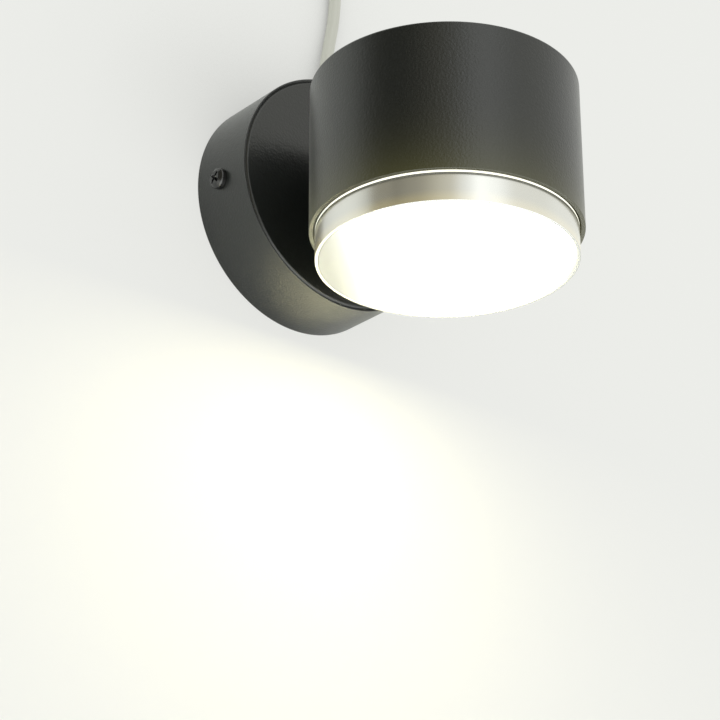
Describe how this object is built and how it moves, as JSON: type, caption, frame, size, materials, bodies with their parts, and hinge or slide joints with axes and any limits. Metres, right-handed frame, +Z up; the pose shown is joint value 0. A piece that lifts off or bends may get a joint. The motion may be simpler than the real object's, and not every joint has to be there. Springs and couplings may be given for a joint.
{
  "type": "pivoting spotlight wall light",
  "caption": "Matte black wall light: a round shallow base on the wall carries a short drum-shaped spotlight that swivels on a hidden pivot, with a satin trim ring and opal diffuser.",
  "frame": {"origin": "centre of the base's back, on the wall face and on the swivel axis", "axes": "+Y into the wall, +Z up, +X to the right as seen from the room; the head points down at rest"},
  "size_m": [0.1022, 0.1378, 0.2413],
  "materials": {
    "powder_black": "fine textured matte powder coat",
    "black_screw": "black oxide",
    "satin_aluminium": "satin turned",
    "cast_aluminium": "bead blasted",
    "zinc_steel": "zinc plated",
    "spring_steel": "bright spring steel",
    "brass": "plain",
    "white_nylon": "natural nylon",
    "white_board": "white solder mask",
    "white_reflector": "white reflector plastic",
    "led_yellow": "phosphor",
    "opal_acrylic": "opal, lit from behind",
    "silicone_clear": "soft silicone",
    "black_rubber": "moulded rubber",
    "driver_white": "moulded case",
    "foam_grey": "closed cell foam",
    "lead_grey": "pale translucent sheath",
    "wire_brown": "insulation",
    "tinned": "tinned copper"
  },
  "bodies": {
    "wall_base": {"base_ring": "powder_black", "base_front_plate": "powder_black", "wall_bracket": "zinc_steel", "side_screws": "black_screw", "stop_pin": "zinc_steel", "friction_washer": "white_nylon", "thrust_washer": "white_nylon", "driver_case": "driver_white", "driver_pad": "foam_grey", "driver_wires": "wire_brown", "terminal_block": "white_nylon", "terminal_screws": "brass", "block_screw": "zinc_steel", "cable_base_half": "driver_white", "cord_grommet": "black_rubber", "cord_tie": "white_nylon", "lead_tail": "lead_grey", "tail_cores": "wire_brown", "supply_lead": "lead_grey", "lead_cores": "wire_brown", "core_ferrules": "tinned"},
    "head": {"head_housing": "powder_black", "swivel_tube": "zinc_steel", "neck_collar": "powder_black", "saddle_washer": "zinc_steel", "head_nut": "zinc_steel", "stop_washer": "zinc_steel", "spring_washer": "spring_steel", "lock_nuts": "zinc_steel", "tube_bushes": "white_nylon", "head_pillars": "zinc_steel", "pillar_screws": "zinc_steel", "lamp_body": "cast_aluminium", "led_board": "white_board", "board_screws": "zinc_steel", "led_chips": "led_yellow", "reflector": "white_reflector", "cable_head_half": "driver_white", "trim_ring": "satin_aluminium", "diffuser_gasket": "silicone_clear", "diffuser": "opal_acrylic"}
  },
  "joints": [
    {"name": "head_swivel", "type": "hinge", "parent": "wall_base", "child": "head", "pos_m": [0, 0, 0], "axis": [0, -1, 0], "range_deg": [-170, 170]}
  ]
}
